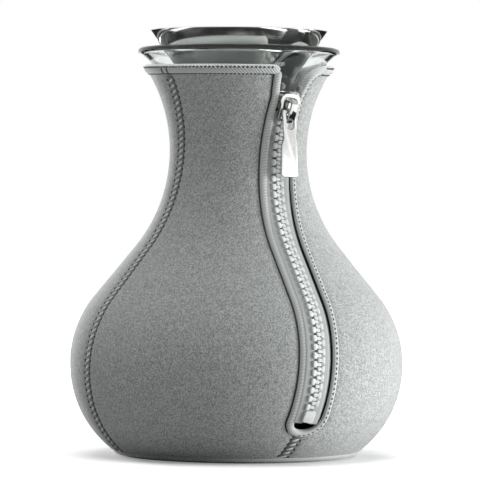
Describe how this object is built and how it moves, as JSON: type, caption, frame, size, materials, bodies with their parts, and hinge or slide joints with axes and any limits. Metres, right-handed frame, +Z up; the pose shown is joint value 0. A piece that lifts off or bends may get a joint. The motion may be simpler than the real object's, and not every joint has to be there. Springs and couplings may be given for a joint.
{
  "type": "tea maker",
  "caption": "Round-bellied glass tea carafe in a zipped neoprene jacket, with a conical steel pouring funnel, a hanging filter and a flap lid in its mouth.",
  "frame": {"origin": "centre of the flat underside of the jacket's base", "axes": "+Z up along the carafe's axis, -Y through the neck of the zip at the front, +X to the right of the zip"},
  "size_m": [0.1493, 0.1506, 0.1908],
  "materials": {
    "glass": "clear blown glass",
    "neoprene": "grey jersey-faced neoprene",
    "binding": "grey overlocked binding",
    "tape": "grey woven zip tape",
    "teeth": "grey moulded plastic",
    "nickel": "polished nickel-plated zinc",
    "steel": "polished stainless steel",
    "mesh": "fine steel mesh",
    "silicone": "dark grey silicone",
    "plastic": "black moulded plastic"
  },
  "bodies": {
    "carafe": {"glass_carafe": "glass", "jacket_right_panel": "neoprene", "jacket_back_right_panel": "neoprene", "jacket_back_left_panel": "neoprene", "jacket_front_panel": "neoprene", "jacket_base": "neoprene", "base_binding": "binding", "zip_binding": "binding", "collar_binding": "binding", "zip_tape_left": "tape", "zip_tape_right": "tape", "zip_teeth_left": "teeth", "zip_teeth_right": "teeth", "zip_top_stop_left": "teeth", "zip_top_stop_right": "teeth", "zip_bottom_stop": "teeth"},
    "insert": {"pouring_funnel": "steel", "sealing_collar": "silicone", "filter_frame": "plastic", "filter_mesh": "mesh", "lid_hinge_pin": "steel", "lid_hinge_bracket": "steel"},
    "lid": {"flip_lid": "steel", "lid_gasket": "silicone"},
    "slider": {"zip_slider": "nickel"},
    "pull": {"zip_pull_tab": "nickel"}
  },
  "joints": [
    {"name": "insert_lift", "type": "slide", "parent": "carafe", "child": "insert", "axis": [0, 0, 1], "range_m": [0, 0.125]},
    {"name": "lid_flap", "type": "hinge", "parent": "insert", "child": "lid", "pos_m": [0, 0.024, 0.17946], "axis": [-1, 0, 0], "range_deg": [0, 80]},
    {"name": "slider_travel", "type": "hinge", "parent": "carafe", "child": "slider", "pos_m": [0, -0.0993, 0.13646], "axis": [-0.9956, 0, 0.0941], "range_deg": [0, 48], "deforming": ["zip_teeth_left", "zip_teeth_right"]},
    {"name": "pull_swing", "type": "hinge", "parent": "slider", "child": "pull", "pos_m": [0.00162, -0.0376, 0.15361], "axis": [-0.9956, 0, 0.0941], "range_deg": [-6, 140]}
  ]
}
